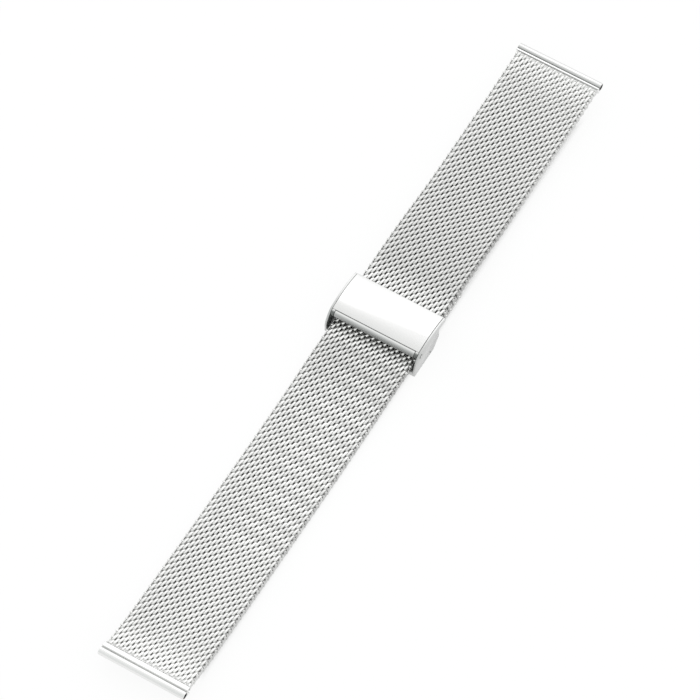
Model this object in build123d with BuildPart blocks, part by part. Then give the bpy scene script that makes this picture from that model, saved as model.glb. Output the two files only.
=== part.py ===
import math
import os

from build123d import *

# Mesh watch band with a sliding fold-over clasp.
# X runs across the band, Y along it towards the short half, Z up.
# The origin is at the bottom of the clasp, under the middle of the band's length.

# Woven mesh
mesh_width = 19.6
mesh_thickness = 1.5
row_spacing = 0.8885
mesh_edge_round = 0.3
row_groove_depth = 0.35
hinge_gap = 0.1

# Rest position of the two halves
long_hinge_y = -2.53
short_hinge_y = 33.5
tail_end_y = 27.5
rows_per_long_group = 10
rows_per_short_group = 11
long_rest_degrees = [-4.2, -1.6, 0.0, 0.6, 1.0, 2.0, 2.6, 2.3, 11.0]
short_rest_degrees = [-6.0, 0.0, 1.5, 2.7, 5.0]

# Ladder pressed into the underside of the long half
ladder_pitch = 3.9
ladder_width = 0.9
ladder_depth = 0.25
ladder_first_y = -47.4
ladder_hinge_margin = 0.5
ladder_rest_count = 14

# End bars, rolled from sheet
bar_side_margin = 0.2
bar_outer_radius = 0.9
bar_bore_radius = 0.7
bar_clamp_wall = 0.25
long_clamp_grip = 0.95
short_clamp_grip = 0.3
bar_clamp_end = 0.45
bar_weld_overlap = 0.2

# Clasp base
mesh_side_gap = 0.55
side_wall = 0.45
floor_thickness = 1.0
floor_front_y = 4.7
floor_rear_y = 12.4
base_corner_round = 0.4
wall_front_bulge = 0.65
wall_rear_drop = 0.9
wall_step_y = 14.6
wall_step_z = 2.4

# Safety cover
cover_radius = 18.0
cover_crown_y = 11.5
cover_crown_z = 6.45
cover_thickness = 0.8
cover_rear_y = 17.2
cover_side_gap = 0.07
cover_ear_width = 0.7
cover_edge_round = 0.25
groove_gap = 0.12

# Main hinge
pin_y = 7.2
pin_z = 4.8
pin_radius = 0.55
knuckle_radius = 1.0
knuckle_side_gap = 0.08

# Hook lever
lever_thickness = 0.6
claw_side_gap = 1.2
claw_thickness = 0.6
claw_clearance = 0.12
claw_floor_gap = 0.25

# Short end frame and cross bar
cross_bar_y = 11.6
cross_bar_radius = 0.45
frame_front_y = 13.6
frame_rear_y = 15.4
frame_tongue = 1.2
frame_wall = 0.4
ear_radius = 0.72
ear_width = 0.8
ear_inset = 0.3

# Locking flap under the base
flap_front_y = 6.0
flap_pin_y = 11.2
flap_pin_radius = 0.25
flap_knuckle_radius = 0.48
flap_plate = 0.55
flap_side_gap = 0.1
flap_end_gap = 0.15
ridge_width = 0.7
ridge_gap = 0.05
pry_notch_width = 3.0
pry_notch_depth = 0.6

# Clearances shared by the fits
layer_gap = 0.1
running_gap = 0.03
overrun = 1.0

# Sizes that follow from the ones above
nose_radius = mesh_thickness / 2
long_group_length = rows_per_long_group * row_spacing
short_group_length = rows_per_short_group * row_spacing
mesh_half = mesh_width / 2
inner_half = mesh_half + mesh_side_gap
clasp_half = inner_half + side_wall
bar_half = mesh_half + bar_side_margin
bar_tube_reach = bar_clamp_end + bar_outer_radius - bar_weld_overlap
long_mesh_z = floor_thickness + layer_gap + nose_radius
short_mesh_z = long_mesh_z + mesh_thickness + layer_gap
cover_centre_z = cover_crown_z - cover_radius
cover_half = inner_half - cover_side_gap
knuckle_half = cover_half - cover_ear_width - knuckle_side_gap
frame_half = mesh_half - ear_inset
claw_half = frame_half - ear_width - claw_side_gap
ridge_y = ladder_first_y + ladder_rest_count * ladder_pitch


def cover_height(y, radius):
    """Height of an arc that shares the cover's centre."""
    return cover_centre_z + math.sqrt(radius**2 - (y - cover_crown_y) ** 2)


def chain(start_y, start_z, way, length, slopes):
    """Hinge points of a mesh half, from the clasp outwards."""
    points = [(start_y, start_z)]
    for slope in slopes:
        y, z = points[-1]
        angle = math.radians(slope)
        points.append((y + way * length * math.cos(angle), z + length * math.sin(angle)))
    return points


def ladder_places(low, high):
    """Places of the ladder's notches between two values along the band."""
    places = []
    count = math.ceil((tail_end_y - ladder_first_y) / ladder_pitch)
    for n in range(count):
        y = ladder_first_y + n * ladder_pitch
        if low < y < high:
            places.append(y)
    return places


def row_places(low, high):
    """Distances from a hinge to the middles of the rows that lie between two distances."""
    places = []
    for n in range(math.ceil(high / row_spacing)):
        place = n * row_spacing + row_spacing / 2
        if low < place < high:
            places.append(place)
    return places


def clear_of_ladder(y, notches):
    """Whether a row's groove at y keeps off the ladder's notches."""
    return all(abs(y - notch) > notch_clearance for notch in notches)


def group_plane(inner, outer):
    """Plane with its local x along a mesh group and its local y upwards, cutting across the band."""
    along = Vector(0, outer[0] - inner[0], outer[1] - inner[1]).normalized()
    side = along.cross(Vector(0, 0, 1)).normalized()
    return Plane(origin=(0, inner[0], inner[1]), x_dir=along, z_dir=side)


long_hinges = chain(long_hinge_y, long_mesh_z, -1, long_group_length, long_rest_degrees)
short_hinges = chain(short_hinge_y, short_mesh_z, 1, short_group_length, short_rest_degrees)
nose_inset = hinge_gap / 2 + nose_radius
notch_margin = nose_inset + ladder_hinge_margin + ladder_width / 2
notch_clearance = ladder_width / 2 + row_groove_depth + layer_gap
groove_margin = nose_inset + row_groove_depth

os.makedirs("parts", exist_ok=True)
pieces = {}


def keep(name, part):
    """Label a finished piece and write it."""
    part.label = name
    export_step(part, "parts/" + name + ".step")
    pieces[name] = part


def mesh_group(inner, outer, last, notched, grip):
    """One run of woven rows between two hinges, with round noses where it turns."""
    plane = group_plane(inner, outer)
    length = math.hypot(outer[0] - inner[0], outer[1] - inner[1])
    end = length if last else length - nose_inset
    free_end = length - grip - row_groove_depth - layer_gap if last else length - groove_margin
    rows = row_places(groove_margin, free_end)
    notches = ladder_places(outer[0] + notch_margin, inner[0] - notch_margin) if notched else []
    with BuildPart() as group:
        with BuildSketch(plane):
            with BuildLine():
                if last:
                    top = Line((nose_inset, nose_radius), (end, nose_radius))
                    side = Line(top @ 1, (end, -nose_radius))
                    low = Line(side @ 1, (nose_inset, -nose_radius))
                    ThreePointArc(low @ 1, (nose_inset - nose_radius, 0), top @ 0)
                else:
                    top = Line((nose_inset, nose_radius), (end, nose_radius))
                    tip = ThreePointArc(top @ 1, (end + nose_radius, 0), (end, -nose_radius))
                    low = Line(tip @ 1, (nose_inset, -nose_radius))
                    ThreePointArc(low @ 1, (nose_inset - nose_radius, 0), top @ 0)
            make_face()
        extrude(amount=mesh_half, both=True)
        rim = group.faces().filter_by(Axis.X)
        fillet(rim.edges().filter_by(GeomType.LINE).filter_by(lambda e: e.length > nose_radius * 3), mesh_edge_round)
        with BuildSketch(plane):
            for row in rows:
                with Locations((row, nose_radius)):
                    RegularPolygon(row_groove_depth, 4)
                if clear_of_ladder(inner[0] - row, notches):
                    with Locations((row, -nose_radius)):
                        RegularPolygon(row_groove_depth, 4)
            for y in notches:
                with Locations((inner[0] - y, -nose_radius)):
                    Rectangle(ladder_width, ladder_depth * 2)
        extrude(amount=mesh_half + overrun, both=True, mode=Mode.SUBTRACT)
    return group.part


# Mesh groups of the long half
for n in range(len(long_rest_degrees)):
    last = n == len(long_rest_degrees) - 1
    notched = long_hinges[n][0] > ladder_first_y
    keep("mesh_long_" + str(n + 1), mesh_group(long_hinges[n], long_hinges[n + 1], last, notched, long_clamp_grip))

# Mesh groups of the short half
for n in range(len(short_rest_degrees)):
    last = n == len(short_rest_degrees) - 1
    keep("mesh_short_" + str(n + 1), mesh_group(short_hinges[n], short_hinges[n + 1], last, False, short_clamp_grip))

# Straight run of the long half through the clasp, with its free tail
with BuildPart() as mesh_long_0:
    with BuildSketch(Plane.YZ):
        with BuildLine():
            top = Line((long_hinge_y + nose_inset, long_mesh_z + nose_radius), (tail_end_y, long_mesh_z + nose_radius))
            side = Line(top @ 1, (tail_end_y, long_mesh_z - nose_radius))
            low = Line(side @ 1, (long_hinge_y + nose_inset, long_mesh_z - nose_radius))
            ThreePointArc(low @ 1, (long_hinge_y + nose_inset - nose_radius, long_mesh_z), top @ 0)
        make_face()
    extrude(amount=mesh_half, both=True)
    rim = mesh_long_0.faces().filter_by(Axis.X)
    fillet(rim.edges().filter_by(Axis.Y), mesh_edge_round)
    notches = ladder_places(long_hinge_y + notch_margin, tail_end_y - ladder_pitch)
    with BuildSketch(Plane.YZ):
        for row in row_places(groove_margin, tail_end_y - long_hinge_y - groove_margin):
            y = long_hinge_y + row
            with Locations((y, long_mesh_z + nose_radius)):
                RegularPolygon(row_groove_depth, 4)
            if clear_of_ladder(y, notches):
                with Locations((y, long_mesh_z - nose_radius)):
                    RegularPolygon(row_groove_depth, 4)
        for y in notches:
            with Locations((y, long_mesh_z - nose_radius)):
                Rectangle(ladder_width, ladder_depth * 2)
    extrude(amount=mesh_half + overrun, both=True, mode=Mode.SUBTRACT)
keep("mesh_long_0", mesh_long_0.part)

# Straight run of the short half, from its end frame to its first hinge
with BuildPart() as mesh_short_0:
    with BuildSketch(Plane.YZ):
        with BuildLine():
            end = short_hinge_y - nose_inset
            top = Line((frame_rear_y, short_mesh_z + nose_radius), (end, short_mesh_z + nose_radius))
            tip = ThreePointArc(top @ 1, (end + nose_radius, short_mesh_z), (end, short_mesh_z - nose_radius))
            low = Line(tip @ 1, (frame_rear_y, short_mesh_z - nose_radius))
            Line(low @ 1, top @ 0)
        make_face()
    extrude(amount=mesh_half, both=True)
    rim = mesh_short_0.faces().filter_by(Axis.X)
    fillet(rim.edges().filter_by(Axis.Y), mesh_edge_round)
    with BuildSketch(Plane.XY.offset(short_mesh_z)):
        with Locations((0, frame_rear_y - frame_tongue / 2)):
            Rectangle(mesh_width - frame_wall * 2, frame_tongue)
    extrude(amount=nose_radius - frame_wall, both=True)
    with BuildSketch(Plane.YZ):
        for row in row_places(groove_margin, short_hinge_y - frame_rear_y - row_groove_depth - layer_gap):
            with Locations((short_hinge_y - row, short_mesh_z + nose_radius)):
                RegularPolygon(row_groove_depth, 4)
            with Locations((short_hinge_y - row, short_mesh_z - nose_radius)):
                RegularPolygon(row_groove_depth, 4)
    extrude(amount=mesh_half + overrun, both=True, mode=Mode.SUBTRACT)
keep("mesh_short_0", mesh_short_0.part)


def end_bar(inner, outer, grip):
    """Rolled end bar: a tube for the spring bar and a clamp around the mesh's end."""
    plane = group_plane(inner, outer)
    length = math.hypot(outer[0] - inner[0], outer[1] - inner[1])
    clamp_half = nose_radius + bar_clamp_wall
    with BuildPart() as bar:
        with BuildSketch(plane):
            with BuildLine():
                Polyline(
                    (length - grip, clamp_half),
                    (length + bar_clamp_end, clamp_half),
                    (length + bar_clamp_end, -clamp_half),
                    (length - grip, -clamp_half),
                    close=True,
                )
            make_face()
        extrude(amount=bar_half, both=True)
        round_edges = bar.edges().filter_by(Axis.X)
        fillet(round_edges, bar_clamp_wall * 0.8)
        with BuildSketch(plane):
            with Locations((length + bar_tube_reach, 0)):
                Circle(bar_outer_radius)
        extrude(amount=bar_half, both=True)
        with BuildSketch(plane):
            with Locations((length + bar_tube_reach, 0)):
                Circle(bar_bore_radius)
        extrude(amount=bar_half + overrun, both=True, mode=Mode.SUBTRACT)
    return bar.part


def seated(bar, mesh):
    """The bar with the mesh's end cut out of its clamp."""
    return bar - mesh


keep("end_bar_long", seated(end_bar(long_hinges[-2], long_hinges[-1], long_clamp_grip), pieces["mesh_long_9"]))
keep("end_bar_short", seated(end_bar(short_hinges[-2], short_hinges[-1], short_clamp_grip), pieces["mesh_short_5"]))

# Clasp base: floor, window for the flap, and two side walls that follow the cover
with BuildPart() as clasp_base:
    with BuildSketch(Plane.YZ):
        with BuildLine():
            rear_top = (cover_rear_y, cover_height(cover_rear_y, cover_radius))
            front_top = (pin_y, cover_height(pin_y, cover_radius))
            front_low = (floor_front_y, front_top[1] * 0.4)
            middle = ((front_top[0] + front_low[0]) / 2, (front_top[1] + front_low[1]) / 2)
            bulge = (middle[0] - wall_front_bulge * 0.45, middle[1] + wall_front_bulge * 0.6)
            crown = ThreePointArc(front_top, (cover_crown_y, cover_crown_z), rear_top)
            Line(crown @ 1, (cover_rear_y, rear_top[1] - wall_rear_drop))
            Polyline(
                (cover_rear_y, rear_top[1] - wall_rear_drop),
                (wall_step_y, rear_top[1] - wall_rear_drop),
                (wall_step_y, wall_step_z),
                (floor_rear_y, 0),
                (floor_front_y, 0),
                front_low,
            )
            ThreePointArc(front_low, bulge, front_top)
        make_face()
    extrude(amount=clasp_half, both=True)
    fillet(clasp_base.edges().filter_by(Axis.Y).group_by(Axis.Z)[0], base_corner_round)
    with BuildSketch(Plane.XY.offset(floor_thickness)):
        with Locations((0, (floor_front_y + cover_rear_y) / 2)):
            Rectangle(inner_half * 2, cover_rear_y - floor_front_y + overrun * 2)
    extrude(amount=cover_crown_z, mode=Mode.SUBTRACT)
    window_front = flap_front_y - flap_end_gap
    window_rear = flap_pin_y + flap_knuckle_radius + flap_end_gap
    with BuildSketch(Plane.XY):
        with Locations((0, (window_front + window_rear) / 2)):
            Rectangle(inner_half * 2, window_rear - window_front)
        with Locations((0, window_front - pry_notch_depth / 2)):
            Rectangle(pry_notch_width, pry_notch_depth)
    extrude(amount=floor_thickness + overrun, both=True, mode=Mode.SUBTRACT)
    with BuildSketch(Plane.YZ):
        with Locations((pin_y, pin_z)):
            Circle(pin_radius)
        with Locations((flap_pin_y, floor_thickness / 2)):
            Circle(flap_pin_radius)
    extrude(amount=clasp_half + overrun, both=True, mode=Mode.SUBTRACT)
keep("clasp_base", clasp_base.part)

# Main hinge pin, fixed in the side walls
with BuildPart() as main_pin:
    with BuildSketch(Plane.YZ):
        with Locations((pin_y, pin_z)):
            Circle(pin_radius)
    extrude(amount=clasp_half, both=True)
keep("main_hinge_pin", main_pin.part)

# Flap pin, fixed in the side walls
with BuildPart() as flap_pin:
    with BuildSketch(Plane.YZ):
        with Locations((flap_pin_y, floor_thickness / 2)):
            Circle(flap_pin_radius)
    extrude(amount=clasp_half, both=True)
keep("flap_hinge_pin", flap_pin.part)

# Locking flap: plate, knuckle and the ridge that faces the ladder
with BuildPart() as flap:
    flap_half = inner_half - flap_side_gap
    plate_low = (floor_thickness - flap_plate) / 2
    with BuildSketch(Plane.YZ):
        with BuildLine():
            Polyline(
                (flap_front_y, plate_low),
                (flap_front_y, plate_low + flap_plate),
                (flap_pin_y, plate_low + flap_plate),
                (flap_pin_y, plate_low),
                close=True,
            )
        make_face()
        with Locations((flap_pin_y, floor_thickness / 2)):
            Circle(flap_knuckle_radius)
    extrude(amount=flap_half, both=True)
    ridge_top = floor_thickness + layer_gap - ridge_gap
    with BuildSketch(Plane.YZ):
        with BuildLine():
            Polyline(
                (ridge_y - ridge_width / 2, plate_low + flap_plate),
                (ridge_y - ridge_width / 4, ridge_top),
                (ridge_y + ridge_width / 4, ridge_top),
                (ridge_y + ridge_width / 2, plate_low + flap_plate),
                close=True,
            )
        make_face()
    extrude(amount=mesh_half, both=True)
    with BuildSketch(Plane.YZ):
        with Locations((flap_pin_y, floor_thickness / 2)):
            Circle(flap_pin_radius + running_gap)
    extrude(amount=flap_half + overrun, both=True, mode=Mode.SUBTRACT)
keep("locking_flap", flap.part)

# Hook lever: knuckle, plate and the claw behind the cross bar
with BuildPart() as lever:
    plate_z = pin_z
    claw_front = cross_bar_y + cross_bar_radius + claw_clearance
    claw_rear = claw_front + claw_thickness
    claw_low = long_mesh_z + nose_radius + claw_floor_gap
    with BuildSketch(Plane.YZ):
        with Locations((pin_y, pin_z)):
            Circle(knuckle_radius)
        with BuildLine():
            Polyline(
                (pin_y, plate_z - lever_thickness / 2),
                (pin_y, plate_z + lever_thickness / 2),
                (claw_rear, plate_z + lever_thickness / 2),
                (claw_rear, plate_z - lever_thickness / 2),
                close=True,
            )
        make_face()
    extrude(amount=knuckle_half, both=True)
    with BuildSketch(Plane.YZ):
        with BuildLine():
            Polyline(
                (claw_front, claw_low),
                (claw_front, plate_z),
                (claw_rear, plate_z),
                (claw_rear, claw_low),
                close=True,
            )
        make_face()
    extrude(amount=claw_half, both=True)
    with BuildSketch(Plane.YZ):
        with Locations((pin_y, pin_z)):
            Circle(pin_radius + running_gap)
    extrude(amount=knuckle_half + overrun, both=True, mode=Mode.SUBTRACT)
    fillet(lever.edges().filter_by(Axis.X).group_by(Axis.Z)[-1].sort_by(Axis.Y)[-1], lever_thickness / 3)
keep("hook_lever", lever.part)

# Safety cover: an arched sheet with an ear at each side on the main pin
with BuildPart() as cover:
    with BuildSketch(Plane.YZ):
        with BuildLine():
            inner_radius = cover_radius - cover_thickness
            outer_arc = ThreePointArc(
                (pin_y, cover_height(pin_y, cover_radius)),
                (cover_crown_y, cover_crown_z),
                (cover_rear_y, cover_height(cover_rear_y, cover_radius)),
            )
            inner_arc = ThreePointArc(
                (cover_rear_y, cover_height(cover_rear_y, inner_radius)),
                (cover_crown_y, cover_crown_z - cover_thickness),
                (pin_y, cover_height(pin_y, inner_radius)),
            )
            Line(outer_arc @ 1, inner_arc @ 0)
            Line(inner_arc @ 1, outer_arc @ 0)
        make_face()
    extrude(amount=cover_half, both=True)
    fillet(cover.edges().filter_by(Axis.X).sort_by(Axis.Y)[-2:], cover_edge_round)
    with BuildSketch(Plane.YZ):
        with Locations((pin_y, pin_z)):
            Circle(knuckle_radius + groove_gap)
    extrude(amount=cover_half + overrun, both=True, mode=Mode.SUBTRACT)
    with BuildSketch(Plane.YZ.offset(cover_half - cover_ear_width), Plane.YZ.offset(-cover_half)):
        with Locations((pin_y, pin_z)):
            Circle(knuckle_radius)
        with BuildLine():
            ear_rear = pin_y + knuckle_radius * 2.6
            Polyline(
                (pin_y, pin_z - knuckle_radius * 0.4),
                (pin_y, cover_height(pin_y, cover_radius - cover_thickness * 0.3)),
                (ear_rear, cover_height(ear_rear, cover_radius - cover_thickness * 0.5)),
                (ear_rear, cover_height(ear_rear, inner_radius) - cover_thickness * 0.4),
                close=True,
            )
        make_face()
    extrude(amount=cover_ear_width)
    with BuildSketch(Plane.YZ):
        with Locations((pin_y, pin_z)):
            Circle(pin_radius + running_gap)
    extrude(amount=cover_half + overrun, both=True, mode=Mode.SUBTRACT)
keep("cover", cover.part)

# Short end frame: a flat clamp on the mesh with two ears for the cross bar
with BuildPart() as frame:
    with BuildSketch(Plane.XY.offset(short_mesh_z)):
        with Locations((0, (frame_front_y + frame_rear_y) / 2)):
            Rectangle(mesh_width, frame_rear_y - frame_front_y)
    extrude(amount=nose_radius, both=True)
    with BuildSketch(Plane.YZ.offset(frame_half - ear_width), Plane.YZ.offset(-frame_half)):
        with Locations((cross_bar_y, short_mesh_z)):
            Circle(ear_radius)
        with BuildLine():
            Polyline(
                (cross_bar_y, short_mesh_z - ear_radius),
                (cross_bar_y, short_mesh_z + ear_radius),
                (frame_front_y, short_mesh_z + ear_radius),
                (frame_front_y, short_mesh_z - ear_radius),
                close=True,
            )
        make_face()
    extrude(amount=ear_width)
    with BuildSketch(Plane.YZ):
        with Locations((cross_bar_y, short_mesh_z)):
            Circle(cross_bar_radius)
    extrude(amount=frame_half + overrun, both=True, mode=Mode.SUBTRACT)
keep("short_end_frame", frame.part - pieces["mesh_short_0"])

# Cross bar that the claw holds
with BuildPart() as cross_bar:
    with BuildSketch(Plane.YZ):
        with Locations((cross_bar_y, short_mesh_z)):
            Circle(cross_bar_radius)
    extrude(amount=frame_half, both=True)
keep("cross_bar", cross_bar.part)

print("long hinges", [(round(y, 4), round(z, 4)) for y, z in long_hinges])
print("short hinges", [(round(y, 4), round(z, 4)) for y, z in short_hinges])
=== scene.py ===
import math
from collections import namedtuple

import bmesh
import bpy
import numpy as np
from bpy.props import FloatProperty, FloatVectorProperty, IntProperty, PointerProperty
from mathutils import Matrix, Vector


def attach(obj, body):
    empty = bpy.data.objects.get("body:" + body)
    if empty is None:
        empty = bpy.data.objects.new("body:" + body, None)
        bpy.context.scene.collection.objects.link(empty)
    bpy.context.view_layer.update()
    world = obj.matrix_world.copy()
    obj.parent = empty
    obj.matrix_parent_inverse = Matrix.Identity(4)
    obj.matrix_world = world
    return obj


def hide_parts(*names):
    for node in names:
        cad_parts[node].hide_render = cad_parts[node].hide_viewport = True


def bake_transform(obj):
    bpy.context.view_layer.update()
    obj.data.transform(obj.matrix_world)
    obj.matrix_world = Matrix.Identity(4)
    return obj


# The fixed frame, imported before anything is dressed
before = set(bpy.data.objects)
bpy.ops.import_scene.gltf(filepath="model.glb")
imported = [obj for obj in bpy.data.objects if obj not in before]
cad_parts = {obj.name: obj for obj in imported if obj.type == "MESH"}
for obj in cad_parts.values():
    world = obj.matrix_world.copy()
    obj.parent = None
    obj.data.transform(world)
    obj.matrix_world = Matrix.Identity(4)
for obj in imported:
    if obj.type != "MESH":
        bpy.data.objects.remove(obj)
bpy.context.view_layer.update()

bl_info = {
    "name": "Mesh Watch Band",
    "version": (1, 0, 0),
    "blender": (4, 5, 0),
    "location": "View3D > Sidebar > Watch Band",
    "description": "Dresses a woven steel watch band with a sliding fold-over clasp",
    "category": "Object",
}

MM = 0.001

# Rest line of the two halves as (y, z) and slopes in degrees, from the clasp outwards
LONG_START = (-2.53 * MM, 1.85 * MM)
LONG_DEGREES = (-4.2, -1.6, 0.0, 0.6, 1.0, 2.0, 2.6, 2.3, 11.0)
LONG_GROUP = 10 * 0.8885 * MM
TAIL_END = 27.5 * MM
SHORT_START = (33.5 * MM, 3.45 * MM)
SHORT_DEGREES = (-6.0, 0.0, 1.5, 2.7, 5.0)
SHORT_GROUP = 11 * 0.8885 * MM
FRAME_REAR = 15.4 * MM
LONG_LINE = (LONG_START, -1, LONG_GROUP, LONG_DEGREES)
SHORT_LINE = (SHORT_START, 1, SHORT_GROUP, SHORT_DEGREES)

# How far the end bars' strips reach over the mesh
LONG_GRIP = 0.64 * MM
SHORT_GRIP = 0.1 * MM

# Ladder pressed into the underside of the long half: its rungs, how deep they press the wires
# there, as a share, and how far the worn face sinks over them
LADDER_FIRST = -47.4 * MM
LADDER_PITCH = 3.9 * MM
RUNG_HALF = 0.55 * MM
RUNG_PRESS = 0.22
RUNG_SINK = 0.035 * MM
# Shift of the painted bands of shade and light against the rungs
RUNG_SHADE_SHIFT = 1.15 * MM

# Painted shade of the wires along a half, 0 for none, lessened as painted light towards the ends
# and beside the clasp: a base, then (from, to, change) along Y
LONG_TONE = 0.15
LONG_CHANGES = (
    (-10 * MM, -2 * MM, 0.13),
    (2 * MM, 4 * MM, -0.28),
    (-74.5 * MM, -78 * MM, -0.15),
)
SHORT_TONE = 0.38
SHORT_CHANGES = (
    (35 * MM, 70 * MM, -0.12),
    (24 * MM, 18.5 * MM, -0.26),
    (76 * MM, 80 * MM, -0.16),
)

# Where the clasp covers the long half, from its front to the free tail behind it
CLASP_FRONT = 4 * MM
TAIL_START = 12 * MM

# Painted shade across a half: (from, to) along X and its most, at the right edge and at both sides,
# and how the short half's right edge clears along Y, as (from, to, share)
RIM, RIM_SHADE = (9.0 * MM, 9.7 * MM), 0.35
LEFT, LEFT_SHADE = (1 * MM, -7 * MM), 0.06
RIGHT, RIGHT_SHADE = (4 * MM, 9 * MM), 0.04
SHORT_RIM_CLEARS = (40 * MM, 60 * MM, 0.7)

# Painted shade and light in bands over the ladder's rungs, which fade to the left, and painted
# shade of the fused beads
RUNG_BAND_SHADE, RUNG_LIGHTER, RUNG_FADE = 0.15, 0.01, 0.75
BEAD_RIGHT, BEAD_LEFT, BEAD_TAIL = 0.7, 0.3, 0.0

# The painted shade line beside an end bar's strip: its distance, half width and strength, and the
# pressed zone beside the long bar's strip, with its painted shade
STRIP_LINE_LONG = (0.2 * MM, 0.2 * MM, 0.8)
STRIP_LINE_SHORT = (0.08 * MM, 0.1 * MM, 0.12)
PRESSED_ZONE, PRESSED_SHADE = 1.0 * MM, 0.2

# The slots' painted shade is darkest at this place in the clasp, lightens over these distances from
# it, and lightens less on the short half, as painted light towards the ends. The shade is painted
# in the middle of the mesh's thickness.
SLOT_MIDDLE = 8 * MM
SLOT_LIGHTENS = (6 * MM, 42 * MM)
SLOT_LIGHTENS_SHORT = 0.42
SLOT_HEIGHT, SLOT_DARK = 0.4, 0.5

# Shape of a bead against the wire, the row and the mesh, its shift against the row, and the
# power that flattens the wire's section
BEAD_SHARE = (0.42, 0.58, 0.42)
BEAD_LEAN = 0.15
SECTION_POWER = 0.78

# How far the last row runs under an end bar's strip, and the points on a turn of fine wire
LAST_ROW_UNDER = 0.2 * MM
FINE_STEPS = 240


class MeshSettings(bpy.types.PropertyGroup):
    wire: FloatProperty(
        name="Wire", description="Thickness of the rolled wire", default=0.42 * MM, unit="LENGTH"
    )
    face: FloatProperty(
        name="Wire face", description="Width of its flat faces", default=0.54 * MM, unit="LENGTH"
    )
    pitch: FloatProperty(
        name="Coil pitch", description="Distance between turns", default=1.432 * MM, unit="LENGTH"
    )
    row: FloatProperty(
        name="Row spacing", description="Distance between rows", default=0.8885 * MM, unit="LENGTH"
    )
    reach: FloatProperty(
        name="Coil reach", description="Half the width of a coil", default=0.86 * MM, unit="LENGTH"
    )
    thickness: FloatProperty(
        name="Thickness", description="Thickness of the woven mesh", default=1.5 * MM, unit="LENGTH"
    )
    width: FloatProperty(
        name="Width", description="Width of the woven mesh", default=19.6 * MM, unit="LENGTH"
    )
    flatness: FloatProperty(
        name="Flatness",
        description="How flat the coils are rolled, 1 for round",
        default=0.58,
        min=0.3,
        max=1.0,
    )
    lean: FloatProperty(
        name="Lean", description="Lean of a coil's legs", default=math.radians(8.5), subtype="ANGLE"
    )
    steps: IntProperty(name="Steps", description="Rings in one turn of wire", default=18, min=8)
    sides: IntProperty(name="Sides", description="Sides of the wire", default=10, min=5)
    colour: FloatVectorProperty(
        name="Wire colour",
        description="Colour of the bright wire",
        default=(0.95, 0.95, 0.94),
        subtype="COLOR",
    )
    # Painted shade: the wire is mixed towards this colour where shade is painted into the weave
    recess: FloatVectorProperty(
        name="Recess colour",
        description="Colour of the wire deep in the weave",
        default=(0.34, 0.34, 0.335),
        subtype="COLOR",
    )


class ClaspSettings(bpy.types.PropertyGroup):
    edge: FloatProperty(
        name="Edge round", description="Rounding of sheet edges", default=0.09 * MM, unit="LENGTH"
    )
    colour: FloatVectorProperty(
        name="Steel colour",
        description="Colour of the polished steel",
        default=(0.88, 0.88, 0.875),
        subtype="COLOR",
    )
    satin: FloatVectorProperty(
        name="Satin colour",
        description="Colour of the satin steel",
        default=(0.68, 0.685, 0.68),
        subtype="COLOR",
    )
    # Painted shade: the steel is mixed towards this colour in its grooves, round the roll and on
    # its darker faces
    crevice: FloatVectorProperty(
        name="Crevice colour",
        description="Colour of the steel deep in grooves",
        default=(0.12, 0.13, 0.125),
        subtype="COLOR",
    )


class StageSettings(bpy.types.PropertyGroup):
    azimuth: FloatProperty(
        name="Azimuth",
        description="Camera's turn about the band",
        default=math.radians(30.885),
        subtype="ANGLE",
    )
    elevation: FloatProperty(
        name="Elevation",
        description="Camera's height over the band",
        default=math.radians(60.05),
        subtype="ANGLE",
    )
    distance: FloatProperty(
        name="Distance", description="Camera's distance", default=1166.62 * MM, unit="LENGTH"
    )
    target: FloatVectorProperty(
        name="Target",
        description="Point that the camera looks at",
        default=(-2.40 * MM, 0.94 * MM, 5.0 * MM),
        subtype="XYZ",
    )


# Edges sharper than the first angle are rounded, and sharper than the others look sharp
BEVEL_DEGREES = 28
SMOOTH_DEGREES = 35
PIN_SMOOTH_DEGREES = 60

# A tube's rounded rim as a share of its wall, and a pin's dome: its height and rings as shares
# of its radius
TUBE_RIM = 0.3
TUBE_SIDES, PIN_SIDES = 48, 40
PIN_DOME = 0.16
PIN_RINGS = (1.0, 0.93, 0.8, 0.6, 0.35)


def link(obj):
    """Put a new object in the scene."""
    bpy.context.scene.collection.objects.link(obj)
    return obj


def smooth(mesh, angle=SMOOTH_DEGREES):
    """Smooth shading, with the edges sharper than the angle kept sharp."""
    mesh.polygons.foreach_set("use_smooth", np.ones(len(mesh.polygons), bool))
    mesh.set_sharp_from_angle(angle=math.radians(angle))


def mesh_from(bm, name):
    """The mesh of a finished bmesh, with its faces turned outwards."""
    bmesh.ops.recalc_face_normals(bm, faces=bm.faces)
    mesh = bpy.data.meshes.new(name)
    bm.to_mesh(mesh)
    bm.free()
    return mesh


def bridge(bm, rings):
    """Faces between rings of vertices and their neighbours."""
    for first, second in zip(rings, rings[1:]):
        for n in range(len(first)):
            m = (n + 1) % len(first)
            bm.faces.new((first[n], first[m], second[m], second[n]))


def prism(name, outline, low, high, edge, across="X"):
    """A plate with that outline: points (y, z) extruded along X, or (x, y) along Z."""
    bm = bmesh.new()
    if across == "X":
        rings = [[bm.verts.new((x, y, z)) for y, z in outline] for x in (low, high)]
    else:
        rings = [[bm.verts.new((x, y, z)) for x, y in outline] for z in (low, high)]
    bridge(bm, rings)
    bm.faces.new(rings[0][::-1])
    bm.faces.new(rings[1])
    bmesh.ops.recalc_face_normals(bm, faces=bm.faces)
    bmesh.ops.bevel(
        bm,
        geom=[e for e in bm.edges if e.calc_face_angle(0) > math.radians(BEVEL_DEGREES)],
        offset=edge,
        segments=3,
        profile=0.5,
        affect="EDGES",
        clamp_overlap=True,
    )
    return mesh_from(bm, name)


def join(name, meshes):
    """One object made of several meshes, which are used up."""
    bm = bmesh.new()
    for mesh in meshes:
        bm.from_mesh(mesh)
        bpy.data.meshes.remove(mesh)
    whole = mesh_from(bm, name)
    smooth(whole)
    return link(bpy.data.objects.new(name, whole))


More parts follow.
